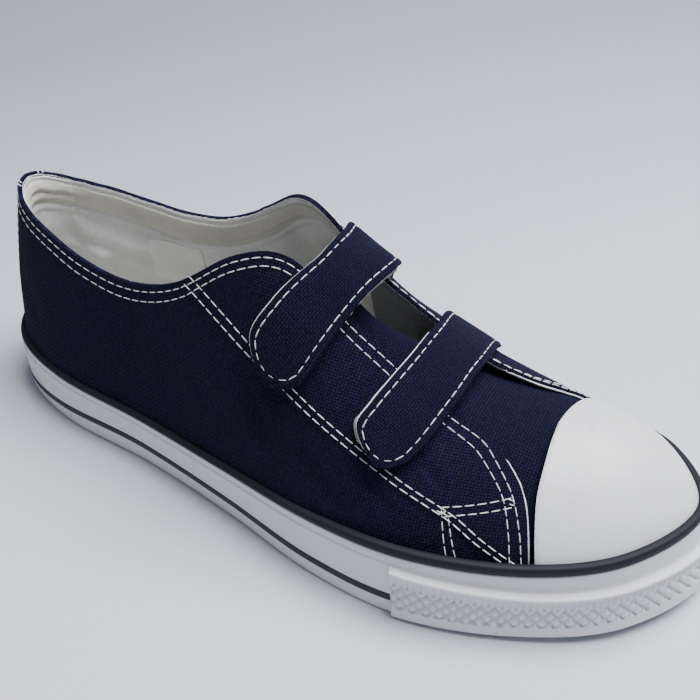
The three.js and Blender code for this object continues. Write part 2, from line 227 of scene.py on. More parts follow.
def facingLift(place, rise):
    # free edges of the facings stand a little off the foot between the straps
    row = np.abs(place)
    near = np.clip(1 - (edgeRise(place) - rise) / 0.3, 0, 1) ** 2
    free = ramp(row - facing["from"], 0.5) * ramp(facing["to"] - row, 0.5)
    return near * free * np.where(np.asarray(place) >= 0, facing["liftOuter"], facing["liftInner"])


sideSeam = {
    "place": [3.42, 3.8, 4.12, 4.46, 5.2, 5.64, 6.2, 6.55, 6.88],
    "rise": [0.72, 0.64, 0.59, 0.57, 0.55, 0.52, 0.43, 0.24, 0.0],
    "step": 0.45,           # thickness of the upper layer, mm
}


def panelStep(place, rise):
    # the front panel lies over the side panel along the double seam
    row = np.abs(place)
    seam = along(sideSeam["place"], sideSeam["rise"], row)
    seam = seam + np.clip(sideSeam["place"][0] - row, 0, lastRow)
    return sideSeam["step"] * ramp(rise - seam + 0.03, 0.012)


edgeRoll = {"proud": 0.3, "width": 1.6, "end": 6.2, "radianHeight": 60}     # mm, and the place it ends


def rolledEdge(place, rise):
    # the folded collar edge is a little thicker than the cloth below it
    under = (edgeRise(place) - rise) * edgeRoll["radianHeight"]
    return edgeRoll["proud"] * np.exp(-(under / edgeRoll["width"]) ** 2) * (np.abs(place) < edgeRoll["end"])


sideBulge = {"proud": 1.2, "from": 0.9, "to": 6, "height": 0.32}     # mm, places, and radians of rise


def bulge(place, rise):
    # the canvas leans out over the band along the sides
    row = np.abs(place)
    sides = ramp(row - sideBulge["from"], 0.9) * ramp(sideBulge["to"] - row, 1.0)
    return sideBulge["proud"] * sides * np.exp(-(np.maximum(rise, 0) / sideBulge["height"]) ** 2)


def quarterPoint(place, rise, offset):
    place, rise, offset = matched(place, rise, offset)
    proud = sum(shape(place, rise) for shape in (soften, facingLift, panelStep, rolledEdge, bulge))
    proud = proud - troughDepth(place, rise)
    return lastPoint(place, rise, offset + proud)


# small tools
def linearColour(code):
    parts = [int(code[n:n + 2], 16) / 255 for n in (1, 3, 5)]
    return [c / 12.92 if c <= 0.04045 else ((c + 0.055) / 1.055) ** 2.4 for c in parts] + [1.0]


def connect(node, inputs):
    # a value is set, a socket is linked, and a node stands for its first output in use
    for name, value in inputs.items():
        if isinstance(value, bpy.types.Node):
            value = next(socket for socket in value.outputs if socket.enabled)
        if isinstance(value, bpy.types.NodeSocket):
            node.id_data.links.new(value, node.inputs[name])
        else:
            node.inputs[name].default_value = value


def addNode(tree, kind, inputs=None, **settings):
    made = tree.nodes.new("ShaderNode" + kind)
    for name, value in settings.items():
        setattr(made, name, value)
    connect(made, inputs or {})
    return made


def linkedObject(name, data):
    made = bpy.data.objects.new(name, data)
    bpy.context.scene.collection.objects.link(made)
    return made


def meshObject(name, bm, material):
    mesh = bpy.data.meshes.new(name)
    bm.to_mesh(mesh)
    bm.free()
    mesh.materials.append(material)
    return linkedObject(name, mesh)


def finishPiece(name, bm, material, nodes=()):
    piece = meshObject(name, bm, material)
    piece.data.polygons.foreach_set("use_smooth", [True] * len(piece.data.polygons))
    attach(piece, "root")
    if nodes:
        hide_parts(*nodes)
    return piece


def gridSheet(columns, rows, shape, join=None, cloth=None):
    # a grid laid onto the surface; its UV map is the cloth's own length and height in mm
    bm = bmesh.new()
    bmesh.ops.create_grid(bm, x_segments=columns, y_segments=rows, size=0.5)
    mesh = bpy.data.meshes.new("grid")
    bm.to_mesh(mesh)
    bm.free()
    count = len(mesh.vertices)
    flat = np.empty(count * 3)
    mesh.vertices.foreach_get("co", flat)
    flat = flat.reshape(-1, 3)[:, :2] + 0.5
    points = shape(flat[:, 0], flat[:, 1])
    mesh.vertices.foreach_set("co", inMetres(points).ravel())
    order = np.lexsort((np.round(flat[:, 0] * columns), np.round(flat[:, 1] * rows)))
    table = points[order].reshape(rows + 1, columns + 1, 3)
    if cloth:
        uvs = cloth(flat[:, 0], flat[:, 1])
    else:
        length = np.linalg.norm(np.diff(table, axis=1), axis=2).mean(0)
        height = np.linalg.norm(np.diff(table, axis=0), axis=2)
        u = walked(length)
        v = np.vstack([np.zeros(columns + 1), np.cumsum(height, 0)])
        uvs = np.zeros((count, 2))
        uvs[order, 0] = np.tile(u, rows + 1)
        uvs[order, 1] = v.reshape(-1)
    corners = np.empty(len(mesh.loops), dtype=np.int32)
    mesh.loops.foreach_get("vertex_index", corners)
    mesh.uv_layers.new(name="cloth").data.foreach_set("uv", uvs[corners].ravel())
    bm = bmesh.new()
    bm.from_mesh(mesh)
    bpy.data.meshes.remove(mesh)
    if join:
        bmesh.ops.remove_doubles(bm, verts=bm.verts, dist=join)
    return bm


def outwards(bm, inside):
    # turn the faces of an open sheet away from a point inside the shoe
    centre = Vector(inMetres(np.array([inside]))[0])
    turned = sum((f.calc_center_median() - centre).dot(f.normal) * f.calc_area() for f in bm.faces)
    if turned < 0:
        bmesh.ops.reverse_faces(bm, faces=bm.faces)
    return bm


def giveThickness(piece, thickness, rounding=0, segments=2):
    solid = piece.modifiers.new("thickness", "SOLIDIFY")
    solid.thickness = thickness / 1000
    solid.offset = -1
    solid.use_even_offset = False
    if rounding:
        bevel = piece.modifiers.new("rounding", "BEVEL")
        bevel.width = rounding / 1000
        bevel.segments = segments
        bevel.profile = 0.5
        bevel.limit_method = "ANGLE"
        bevel.angle_limit = math.radians(50)
        bevel.harden_normals = False
    return piece


def sheetPiece(name, sizes, shape, inside, material, slotName, nodes=(), **how):
    # a sheet laid onto the surface, facing away from a point inside the shoe, with its thickness inwards
    bm = outwards(gridSheet(sizes["columns"], sizes["rows"], shape, **how), inside)
    piece = finishPiece(name, bm, material, nodes)
    return giveThickness(piece, sizes["thickness"], sizes.get("rounding", 0), sizes.get("segments", 2))


# materials
def principled(name, colour, roughness, **sockets):
    material = bpy.data.materials.new(name)
    material.use_nodes = True
    tree = material.node_tree
    tree.nodes.clear()
    shader = addNode(tree, "BsdfPrincipled", {"Base Color": linearColour(colour), "Roughness": roughness})
    for socketName, value in sockets.items():
        shader.inputs[socketName.replace("_", " ")].default_value = value
    addNode(tree, "OutputMaterial", {"Surface": shader})
    return material, tree, shader


def wovenCloth(name, dark, light, warp, weft, depth, slub=0.3, sheen=0.05, tint="#6a74b8"):
    # plain weave: threads pass over and under each other, warp and weft mm apart, each of its own thickness;
    # the colour goes dark in the dips between the threads, which is painted shade in the weave
    material, tree, shader = principled(
        name, light, 0.95, Specular_IOR_Level=0.12, Sheen_Weight=sheen, Sheen_Roughness=0.5,
        Sheen_Tint=linearColour(tint))
    place = addNode(tree, "UVMap", uv_map="cloth")
    parts = addNode(tree, "SeparateXYZ", {"Vector": place})
    waves = []
    yarns = []
    for axis, pitch, stretch in (("X", warp, (1 / warp, 0.3, 1)), ("Y", weft, (0.3, 1 / weft, 1))):
        turn = addNode(tree, "Math", {0: parts.outputs[axis], 1: math.pi / pitch}, operation="MULTIPLY")
        waves.append(addNode(tree, "Math", {0: turn}, operation="SINE"))
        drawn = addNode(tree, "Mapping", {"Vector": place, "Scale": stretch})
        yarns.append(addNode(tree, "TexNoise", {"Vector": drawn, "Scale": 1.0, "Detail": 1.0}))
    crossing = addNode(tree, "Math", {0: waves[0], 1: waves[1]}, operation="MULTIPLY")
    onTop = addNode(tree, "Math", {0: crossing, 1: 6.0}, operation="MULTIPLY", use_clamp=True)
    domes = [addNode(tree, "Math", {0: wave}, operation="ABSOLUTE") for wave in waves]
    thread = addNode(tree, "Mix", {"Factor": onTop, "A": domes[0], "B": domes[1]}, data_type="FLOAT")
    yarn = addNode(tree, "Mix", {"Factor": onTop, "A": yarns[0], "B": yarns[1]}, data_type="FLOAT")
    thick = addNode(
        tree, "MapRange",
        {"Value": yarn, "From Min": 0.35, "From Max": 0.68, "To Min": 1 - slub, "To Max": 1 + slub})
    # loose fibres of 0.45 mm, and uneven dye in patches of about 33 mm
    fuzz = addNode(tree, "TexNoise", {"Vector": place, "Scale": 2.2, "Detail": 3.0, "Roughness": 0.7})
    cloud = addNode(tree, "TexNoise", {"Vector": place, "Scale": 0.03, "Detail": 2.0})
    soft = addNode(tree, "Math", {0: fuzz, 1: 0.9, 2: 0.55}, operation="MULTIPLY_ADD")
    lift = addNode(tree, "Math", {0: thread, 1: soft}, operation="MULTIPLY")
    full = addNode(tree, "Math", {0: lift, 1: thick}, operation="MULTIPLY")
    tone = addNode(tree, "Math", {0: full, 1: 1.9}, operation="POWER")
    # the dark colour in the dips between the threads is painted shade
    shade = addNode(
        tree, "Mix", {"Factor": tone, "A": linearColour(dark), "B": linearColour(light)}, data_type="RGBA")
    slow = addNode(
        tree, "MapRange", {"Value": cloud, "From Min": 0.3, "From Max": 0.7, "To Min": 0.86, "To Max": 1.12})
    dyed = addNode(tree, "HueSaturation", {"Color": shade, "Value": slow})
    bump = addNode(tree, "Bump", {"Height": full, "Strength": 0.8, "Distance": depth / 1000})
    connect(shader, {"Base Color": dyed, "Normal": bump})
    return material


def mouldedRubber(name, colour, roughness, grain=1.2, depth=0.03, spots=0.05, gloss=0.4):
    # vulcanised rubber: satin skin with a faint grain, patches of handling dirt about 36 mm wide,
    # and dark specks of dust in cells of 2.4 mm
    material, tree, shader = principled(name, colour, roughness, Specular_IOR_Level=gloss)
    place = addNode(tree, "TexCoord").outputs["Object"]
    fine = addNode(tree, "TexNoise", {"Vector": place, "Scale": 1000 / grain, "Detail": 3.0})
    wide = addNode(tree, "TexNoise", {"Vector": place, "Scale": 28.0, "Detail": 3.0})
    dust = addNode(tree, "TexNoise", {"Vector": place, "Scale": 420.0, "Detail": 1.0})
    dirt = addNode(
        tree, "MapRange",
        {"Value": wide, "From Min": 0.35, "From Max": 0.75, "To Min": 1.0, "To Max": 1.0 - spots})
    speck = addNode(
        tree, "MapRange", {"Value": dust, "From Min": 0.74, "From Max": 0.8, "To Min": 1.0, "To Max": 0.72})
    worn = addNode(tree, "Math", {0: dirt, 1: speck}, operation="MULTIPLY")
    tone = addNode(tree, "HueSaturation", {"Color": linearColour(colour), "Value": worn})
    dull = addNode(tree, "MapRange", {"Value": wide, "To Min": roughness - 0.06, "To Max": roughness + 0.08})
    bump = addNode(tree, "Bump", {"Height": fine, "Strength": 0.35, "Distance": depth / 1000})
    connect(shader, {"Base Color": tone, "Roughness": dull, "Normal": bump})
    return material


# 12 oz cotton canvas, dyed navy: a plain weave, matt with a dusty sheen. Its threads are 0.7 mm apart,
# and they are drawn at 0.9 mm so that the weave shows
navyCanvas = wovenCloth("navyCottonCanvas", "#020206", "#1d1b3c", 0.94, 0.86, 0.45)
# the same canvas on the straps, tongue and vamp, cut on another grain, a little greyer
strapCanvas = wovenCloth("navyStrapCanvas", "#030309", "#1b1a39", 0.86, 0.94, 0.45)
# unbleached cotton drill: a fine even weave, soft and matt, threads of 0.35 mm drawn at 0.5 mm
cottonLining = wovenCloth(
    "cottonDrillLining", "#bdbdbe", "#f4f4f3", 0.5, 0.5, 0.1, slub=0.15, sheen=0.1, tint="#ffffff")
# the same drill, a little darker and yellower, in the doubled strip under the collar
bandCotton = wovenCloth(
    "yellowerCottonDrill", "#b0afa7", "#e6e4da", 0.5, 0.5, 0.1, slub=0.15, sheen=0.1, tint="#ffffff")
# satin label tape: smoother and whiter than the lining, threads 0.3 mm apart
labelSatin = wovenCloth("blankLabelSatin", "#dcdcda", "#f6f6f4", 0.3, 0.3, 0.04, slub=0.1, tint="#ffffff")
# dark cotton twill tape behind the facings, put in as painted shade for the shadowed inside of the facings:
# dusty grey in the light, threads about 0.5 mm apart
shadeTape = wovenCloth("twillTapePaintedShade", "#44444a", "#a6a7ae", 0.45, 0.6, 0.12, slub=0.15, tint="#8888a0")
# cotton cover of the insole, a little dirtier than the lining, threads 0.55 mm apart
insoleCotton = wovenCloth(
    "insoleCotton", "#a3a4a0", "#d8d8d2", 0.55, 0.55, 0.1, slub=0.15, sheen=0.1, tint="#ffffff")
# vulcanised natural rubber, calendered: satin white with a faint grain of 1.2 mm
whiteRubber = mouldedRubber("whiteVulcanisedRubber", "#dcdde2", 0.42)
# pressed in a polished mould: smoother, whiter and a little glossier, its faint unevenness 2.5 mm wide
capRubber = mouldedRubber("polishedCapRubber", "#e3e4e8", 0.36, grain=2.5, depth=0.02, spots=0.06)
# embossed strip: the same rubber with a slightly duller face
bumperRubber = mouldedRubber("embossedBumperRubber", "#dddee3", 0.45)
# extruded dark bead and line: dull navy-black that hardly reflects
stripeRubber = mouldedRubber("navyStripeRubber", "#1a1c27", 0.6, spots=0.12, gloss=0.22)
pinstripeRubber = mouldedRubber("pinstripeRubber", "#31323d", 0.6, spots=0.12, gloss=0.22)
# compression moulded tread: matt and greyer, with a deeper grain of 0.8 mm
treadRubber = mouldedRubber("treadRubber", "#cfcfcd", 0.6, grain=0.8, depth=0.06, spots=0.12)


def makeThread():
    # bonded polyester sewing thread, white: soft sheen, with the grey and white flecks of its 0.25 mm twist
    material, tree, shader = principled("whiteSewingThread", "#e9e9ec", 0.6, Sheen_Weight=0.2)
    place = addNode(tree, "TexCoord").outputs["Object"]
    fuzz = addNode(tree, "TexNoise", {"Vector": place, "Scale": 4000.0, "Detail": 2.0})
    tone = addNode(
        tree, "Mix", {"Factor": fuzz, "A": linearColour("#bfc0c8"), "B": linearColour("#f6f6f8")},
        data_type="RGBA")
    connect(shader, {"Base Color": tone})
    return material


def makeLoopTape():
    # brushed nylon loop tape: a matt white pile with no thread direction, in tufts of 0.45 mm
    material, tree, shader = principled(
        "nylonLoopPile", "#cfcfcf", 0.95, Sheen_Weight=0.5, Sheen_Roughness=0.4)
    place = addNode(tree, "TexCoord").outputs["Object"]
    pile = addNode(tree, "TexNoise", {"Vector": place, "Scale": 2200.0, "Detail": 5.0, "Roughness": 0.75})
    # the colour follows the pile's height: the dark grey between the tufts is painted shade
    tone = addNode(
        tree, "Mix", {"Factor": pile, "A": linearColour("#3c3c40"), "B": linearColour("#c6c6c8")},
        data_type="RGBA")
    bump = addNode(tree, "Bump", {"Height": pile, "Strength": 0.9, "Distance": 0.0005})
    connect(shader, {"Base Color": tone, "Normal": bump})
    return material


threadWhite = makeThread()
loopTape = makeLoopTape()
print("materials made")

# points inside the shoe, in mm: the middle, under the straps and behind the toe
insideShoe = (0, 0, 40)
underStraps = (30, 0, 20)
inToe = (60, 0, 20)

# quarters: the canvas sides and heel, folded at the collar and free at the facings
quarters = {"columns": 320, "rows": 120, "thickness": collar["foldBack"], "rounding": 0.4, "low": -0.6}


def quarterShape(u, v):
    # columns are closer together at the ends, where the edge runs down steeply
    turn = 2 * u - 1
    place = quarterEnd * np.sign(turn) * (1 - (1 - np.abs(turn)) ** 1.35)
    low = quarters["low"]
    return quarterPoint(place, low + (edgeRise(place) - low) * v, 0)


sheetPiece("canvas_quarters", quarters, quarterShape, insideShoe, navyCanvas, "canvas", ["upper"])

# lining: cotton inside the quarters, with a collar band, pleats at the heel and soft wrinkles; sizes in mm
lining = {
    "columns": 280, "rows": 130, "thickness": 0.6, "rounding": 0.2, "end": 4.76, "radianHeight": 62,
    "gap": 1.42, "setBack": 0.9, "slack": 1.2, "bandDepth": 10.0, "bandStep": 1.3, "topStitch": 0.35,
    "pleat": 0.8, "heelPatch": 0.5, "rough": 0.14, "creaseHeight": 2.4,
    # creases: place of the start, rise there, fall for each place, and width in radians
    "creases": ((0.9, 0.5, 0.12, 0.05), (1.2, 0.36, 0.16, 0.055), (0.5, 0.34, 0.02, 0.045)),
}


def liningOffset(place, rise):
    row = np.abs(place)
    below = (edgeRise(place) - rise) * lining["radianHeight"]      # rough distance under the edge
    depth = lining["bandDepth"]
    puff = 1.3 * np.sin(3.3 * row + 1.2 + 2.5 * rise) * np.sin(2.1 * row - 6.0 * rise + 0.5)
    puff += 0.8 * np.sin(6.7 * row + 2.0 + 3 * rise) * np.sin(9 * rise + row)
    loose = ramp(below - depth, 8) * ramp(rise + 0.2, 0.3) * ramp(4.6 - row, 0.6)
    seam = lining["bandStep"] * np.exp(-((below - depth) / 0.9) ** 2)
    seam += lining["thickness"] * ramp(below - depth, 0.9)
    seam += lining["topStitch"] * np.exp(-((below - depth + 4.5) / 0.8) ** 2)
    pleat = lining["pleat"] * np.sin(below * 1.75 + 0.5 * np.sin(9 * row)) * np.clip(1 - below / 14, 0, 1)
    pleat *= np.clip(1.7 - row, 0, 1) * ramp(below, 2)
    patch = lining["heelPatch"] * ramp(1.05 - row, 0.04) * ramp(rise - 0.16, 0.02)
    creases = 0
    for start, high, slope, width in lining["creases"]:
        line = rise - (high - slope * (row - start))
        length = ramp(row - start, 0.3) * ramp(start + 1.5 - row, 0.5)
        creases = creases + lining["creaseHeight"] * np.exp(-(line / width) ** 2) * length
    rough = lining["rough"] * np.sin(31 * row) * np.sin(17 * row + 1) * np.clip(1 - below / 2, 0, 1)
    offset = -lining["gap"] - lining["setBack"] * ramp(below, 4) - loose * (lining["slack"] + puff)
    return offset - seam + pleat + rough - patch - creases


def liningShape(u, v):
    place = lining["end"] * (2 * u - 1)
    rise = -0.9 + (edgeRise(place) + 0.9) * v
    return quarterPoint(place, rise, liningOffset(place, rise))


sheetPiece("cotton_lining", lining, liningShape, insideShoe, cottonLining, "insole_cotton")

# a doubled strip of lining under the collar edge: top and depth in mm
collarBand = {"columns": 240, "rows": 16, "thickness": 0.4, "top": 1.2, "depth": 7.6, "puff": 0.5}


def collarBandShape(u, v):
    place = (lining["end"] - 0.05) * (2 * u - 1)
    below = collarBand["top"] + collarBand["depth"] * (1 - v)
    rise = edgeRise(place) - below / lining["radianHeight"]
    puff = collarBand["puff"] * np.sqrt(4 * v * (1 - v))
    return quarterPoint(place, rise, liningOffset(place, rise) - lining["thickness"] - 0.05 - puff)


sheetPiece("collar_band", collarBand, collarBandShape, insideShoe, bandCotton, "insole_cotton")

# a blank woven label on the inner side
label = {
    "columns": 40, "rows": 40, "thickness": 0.18,
    "from": 2.12, "length": 0.56, "low": 0.17, "height": 0.25,      # places, then radians of rise
}


def labelShape(u, v):
    place = -(label["from"] + label["length"] * u)
    rise = label["low"] + label["height"] * v
    return quarterPoint(place, rise, liningOffset(place, rise) - lining["thickness"] - 0.12)


sheetPiece("blank_label", label, labelShape, insideShoe, labelSatin, "insole_cotton")


def cord(columns, path, radius, flat=1.0, sides=8):
    # a thin rounded strip along a path of (point, normal); both ends are closed
    def shape(u, v):
        centre, normal = path(u)
        run = unit(path(np.minimum(u + 0.002, 1))[0] - path(np.maximum(u - 0.002, 0))[0])
        normal = unit(normal - run * (normal * run).sum(-1, keepdims=True))
        side = np.cross(run, normal)
        turn = 2 * math.pi * v[:, None]
        return centre + radius * (side * np.cos(turn) * flat + normal * np.sin(turn))
    bm = gridSheet(columns, sides, shape, join=1e-6)
    bmesh.ops.holes_fill(bm, edges=[e for e in bm.edges if e.is_boundary], sides=0)
    bmesh.ops.recalc_face_normals(bm, faces=bm.faces)
    return bm


# white cord where lining and canvas meet at the collar edge, in mm
edgeCord = {"columns": 900, "radius": 0.3, "flat": 1.2, "above": 0.12, "fray": 0.12, "sunk": 0.9}


def collarEdgePath(u):
    turn = 2 * u - 1
    place = (quarterEnd - 0.01) * np.sign(turn) * (1 - (1 - np.abs(turn)) ** 1.3)
    step = 0.01
    normal = quarterPoint(place, edgeRise(place), 0.5) - quarterPoint(place, edgeRise(place), -0.5)
    run = quarterPoint(place + step, edgeRise(place + step), 0)
    run = run - quarterPoint(place - step, edgeRise(place - step), 0)
    beyond = unit(np.cross(normal, run))
    fray = edgeCord["fray"] * np.sin(47 * place) * np.sin(29 * place + 1)
    hidden = edgeCord["sunk"] * ramp(place - 4.6, 0.2) * ramp(6.65 - place, 0.3)
    above = edgeCord["above"] + fray - hidden
    return quarterPoint(place, edgeRise(place), -1.4) + beyond * above[:, None], normal


bm = cord(edgeCord["columns"], collarEdgePath, edgeCord["radius"], edgeCord["flat"])
finishPiece("lining_edge", bm, threadWhite)

# dark tape inside the facings, seen between the straps, as painted shade for the shadowed inside of the
# facings: the places where it starts and ends
facingShadeTape = {
    "columns": 70, "rows": 24, "thickness": 0.4, "outer": 4.72, "inner": 4.42, "end": 6.95,
    "offset": -1.6, "overLining": 2.0,      # mm
}
for side, word in ((1, "outer"), (-1, "inner")):
    def facingShape(u, v, side=side, start=facingShadeTape[word]):
        row = start + (facingShadeTape["end"] - start) * u
        top = edgeRise(side * row)
        below = (top + 0.3) * (1 - v)
        onLining = ramp(5.1 - row, 0.2) * ramp(below, 0.05)
        offset = facingShadeTape["offset"] - facingShadeTape["overLining"] * onLining
        return quarterPoint(side * row, top - below, offset)

    sheetPiece("facing_shade_tape_" + word, facingShadeTape, facingShape, insideShoe, shadeTape, "canvas")
print("quarters and lining made")

# vamp: one layer of canvas from under the facings to the toe
vamp = {"columns": 120, "rows": 70, "thickness": 0.9, "rear": 6.2, "front": 8.4, "sag": 1.5}


def vampShape(u, v):
    # rear edge under the facings, front edge under the toe cap
    over = 0.02 + (math.pi - 0.04) * u
    start = vamp["rear"] - 0.6 * np.sin(over) ** 4
    place = start + (vamp["front"] - start) * v
    sag = vamp["sag"] + 1.2 * np.clip(1 - (place - start) / 0.5, 0, 1)
    wave = 0.22 * np.sin(5 * over + 3 * place) * np.sin(4 * place)
    return overPoint(place, over, -sag + wave)


def vampGrain(u, v):
    point = vampShape(u, v)
    ridge = vampShape(np.full(u.shape, 0.5), v)
    across = np.hypot(point[:, 1] - ridge[:, 1], point[:, 2] - ridge[:, 2]) * np.sign(u - 0.5)
    return np.stack([point[:, 0], across], -1)


sheetPiece("vamp", vamp, vampShape, inToe, strapCanvas, "canvas", cloth=vampGrain)

# tongue: continues the vamp back under the straps, turned a little to the outer side
tongue = {
    "columns": 60, "rows": 70, "thickness": 1.9, "rounding": 0.5, "drop": 5.0,
    "place": [4.72, 4.95, 5.2, 5.5, 5.9, 6.4, 6.9],
    "outerEdge": [0.95, 0.92, 0.92, 0.95, 0.95, 0.9, 0.8],
    "innerEdge": [1.6, 1.68, 1.86, 2.1, 2.3, 2.35, 2.35],
    "depth": [4.2, 4.0, 3.8, 3.7, 3.9, 3.6, 3.6],
}


def tongueShape(u, v):
    rear, front = tongue["place"][0], tongue["place"][-1]
    place = rear + (front - rear) * v
    first = along(tongue["place"], tongue["outerEdge"], place)
    final = along(tongue["place"], tongue["innerEdge"], place)
    over = first + (final - first) * u
    rounded = tongue["drop"] * ramp(u - 0.62, 0.38) ** 1.6
    wave = 0.4 * np.sin(4.5 * place + 3 * u) * np.sin(3 * u + 1)
    return overPoint(place, over, -along(tongue["place"], tongue["depth"], place) - rounded + wave)


sheetPiece("tongue_cloth", tongue, tongueShape, underStraps, strapCanvas, "tongue_canvas", ["tongue"])
print("vamp and tongue made")

# heel stay: a strip of canvas over the back seam
heelStay = {
    "columns": 30, "rows": 80, "thickness": 0.8, "half": 0.6, "proud": 0.42, "low": -0.3,
    "narrower": 0.18, "seams": (-0.52, -0.4, 0.4, 0.52),
}


def stayTaper(v):
    # the strip is narrower at its top
    return 1 - heelStay["narrower"] + heelStay["narrower"] * (1 - v)


def stayShape(u, v):
    place = heelStay["half"] * (2 * u - 1) * stayTaper(v)
    side = ramp(0.5 - np.abs(u - 0.5), 0.05)
    rise = heelStay["low"] + (edgeRise(place) - heelStay["low"]) * v
    rounded = 0.25 * ramp(v - 0.98, 0.02)
    return quarterPoint(place, rise, 0.05 + heelStay["proud"] * side**0.5 - rounded)


sheetPiece("heel_stay", heelStay, stayShape, insideShoe, strapCanvas, "canvas")

# side band, bead and pinstripe: tables of places from the heel, and mm below the band's full height
sideBand = {
    "columns": 360, "heelTuck": 1.9, "heelWidth": 1.15,
    "topAt": [0, 1, 2, 4, 5, 6.5, 9],
    "topBelow": [0.2, 0.6, 1.1, 1.0, 0.5, 0, 0],
    "ledgeAt": [0, 3, 4.5, 5.9, 6.3, 6.7, 7.1, 8.2, 9],
    "ledgeBelow": [2.9, 3.6, 3.6, 3.6, 4.2, 4.9, 5.6, 6.0, 7.2],
    "beadAt": [0, 1, 4.5, 5.8, 9],
    "beadShare": [0.8, 0.62, 0.62, 0.95, 1],
}
pinstripe = {
    "columns": 300, "end": 6.1,
    "at": [0, 1.15, 1.7, 2.2, 2.65, 3.2, 4.3, 6.2],
    "height": [5.1, 5.1, 6.0, 7.5, 8.1, 7.8, 7.0, 6.8],
}


def sweep(columns, section, start=0.0, end=ring, closed=True):
    # a section of (height, out) corners carried round the outline; the ends are capped when open
    count = section(np.array([0.0])).shape[1]

    def shape(u, v):
        place = start + (end - start) * u
        corner = np.round(v * count).astype(int) % count
        rows = section(place)
        picked = rows[np.arange(len(place)), corner]
        return wallPoint(place, picked[:, 0], picked[:, 1])

    bm = gridSheet(columns, count, shape)
    bmesh.ops.remove_doubles(bm, verts=bm.verts, dist=1e-6)
    if not closed:
        bmesh.ops.holes_fill(bm, edges=[e for e in bm.edges if e.is_boundary], sides=0)
    bmesh.ops.recalc_face_normals(bm, faces=bm.faces)
    return bm


def heelTuck(place):
    # the band lies closer to the canvas round the heel
    return sideBand["heelTuck"] * np.exp(-(fromHeel(place) / sideBand["heelWidth"]) ** 2)


def sectionOf(*corners):
    # each corner is a (height, out) pair; a height may be a function of the place
    def at(place):
        place = np.asarray(place, float)
        band = around(place, "band")
        rows = []
        for height, out in corners:
            high = height(place, band) if callable(height) else np.full(place.shape, float(height))
            rows.append(np.stack([high, float(out) - heelTuck(place)], -1))
        return np.stack(rows, 1)
    return at


def ledgeHeight(place, band):
    # the band is thinner above this line
    return band - along(sideBand["ledgeAt"], sideBand["ledgeBelow"], fromHeel(place))


def bandTop(place, band):
    # the band is a little lower along the sides than round heel and toe
    return band - along(sideBand["topAt"], sideBand["topBelow"], fromHeel(place))


def pinHeight(place, band):
    return along(pinstripe["at"], pinstripe["height"], fromHeel(place))


def beside(line, step):
    # a height that stays one step over a line round the shoe
    return lambda place, band: line(place, band) + step


def beadHeight(share):
    # the bead stands lower along the sides than round the toe
    def at(place, band):
        low = along(sideBand["beadAt"], sideBand["beadShare"], fromHeel(place))
        return bandTop(place, band) + np.where(share > 0.5, share * low, share)
    return at


band = sectionOf(
    (0.15, -2.9), (0.15, -1.0), (0.25, -0.4), (0.6, -0.14), (1.2, -0.04), (3.0, 0.0),
    (beside(pinHeight, -1.7), 0.0), (beside(pinHeight, 1.7), 0.0),
    *[(beside(ledgeHeight, step), out) for step, out in (
        (-1.0, 0.0), (-0.35, -0.02), (-0.1, -0.14), (0.15, -0.42), (0.5, -0.46))],
    *[(beside(bandTop, step), out) for step, out in (
        (-0.8, -0.46), (-0.4, -0.56), (-0.2, -0.9), (-0.15, -1.6), (-0.15, -2.9))],
)
finishPiece("side_band", sweep(sideBand["columns"], band), whiteRubber, ["foxing"])

bead = sectionOf(*[(beadHeight(high), out) for high, out in (
    (-0.15, -2.9), (-0.15, -0.8), (0.05, -0.5), (0.55, -0.34), (1.5, -0.38), (2.2, -0.55), (2.65, -0.9),
    (2.85, -1.4), (2.85, -2.2), (2.5, -2.95), (1.9, -3.4), (0.6, -3.5))])
finishPiece("stripe_bead", sweep(sideBand["columns"], bead), stripeRubber, ["foxing_stripe"])

line = sectionOf(*[(beside(pinHeight, step), out) for step, out in (
    (-1.4, -0.9), (-1.4, 0.0), (-1.25, 0.14), (1.25, 0.14), (1.4, 0.0), (1.4, -0.9))])
bm = sweep(pinstripe["columns"], line, -pinstripe["end"], pinstripe["end"], closed=False)
finishPiece("pinstripe", bm, pinstripeRubber)
print("band made")

# toe bumper: lip, fluted row, three rows of diamonds, smooth foot
bumper = {
    "columns": 660, "rows": 72, "thickness": 1.0, "start": 5.9, "base": 1.75, "bottom": 0.35,
    "lip": 1.5, "flutes": 4.2, "foot": 4.7, "diamondHeight": 4.4, "pitch": 3.72, "depth": 1.35,
    "lipProud": 0.6, "fluteDepth": 0.5, "buried": 2.8, "footRound": 1.1,
    "topAt": [5.9, 6.3, 6.7, 7.1, 8.2, 9],
    "top": [19.6, 18.8, 17.9, 17.0, 16.6, 15.4],
}


def bumperLength(place):
    # distance along the bumper's face from the toe, mm
    fine = np.linspace(bumper["start"], ring - bumper["start"], 1200)
    x, y = outline(fine)[:2]
    walk = walked(np.hypot(np.diff(x), np.diff(y)))
    return np.interp(place, fine, walk - walk[-1] / 2)


def bumperRelief(length, under, height):
    # under is the distance below the bumper's top edge
    pitch = bumper["pitch"]
    fluteFrom, fluteTo = bumper["lip"], bumper["lip"] + bumper["flutes"]
    ribs = 0.5 - 0.5 * np.cos(4 * math.pi * length / pitch)
    ribs = 1 - (1 - ribs) ** 2
    fluted = ramp(under - fluteFrom, 0.3) * ramp(fluteTo - 0.5 - under, 0.3)
    drop = (under - fluteTo) / bumper["diamondHeight"]
    a = (length / pitch + drop) % 1
    b = (length / pitch - drop) % 1
    groove = np.minimum(np.minimum(a, 1 - a), np.minimum(b, 1 - b)) * 2
    pillow = 0.7 * (1 - (1 - np.clip(groove * 1.4, 0, 1)) ** 2) + 0.3 * groove
    field = ramp(under - fluteTo + 0.6, 0.3) * ramp(height - bumper["foot"], 0.3)
    lip = bumper["lipProud"] * ramp(fluteFrom - under, 0.25)
    return lip + field * bumper["depth"] * (pillow - 0.8) + bumper["fluteDepth"] * fluted * (ribs - 1)


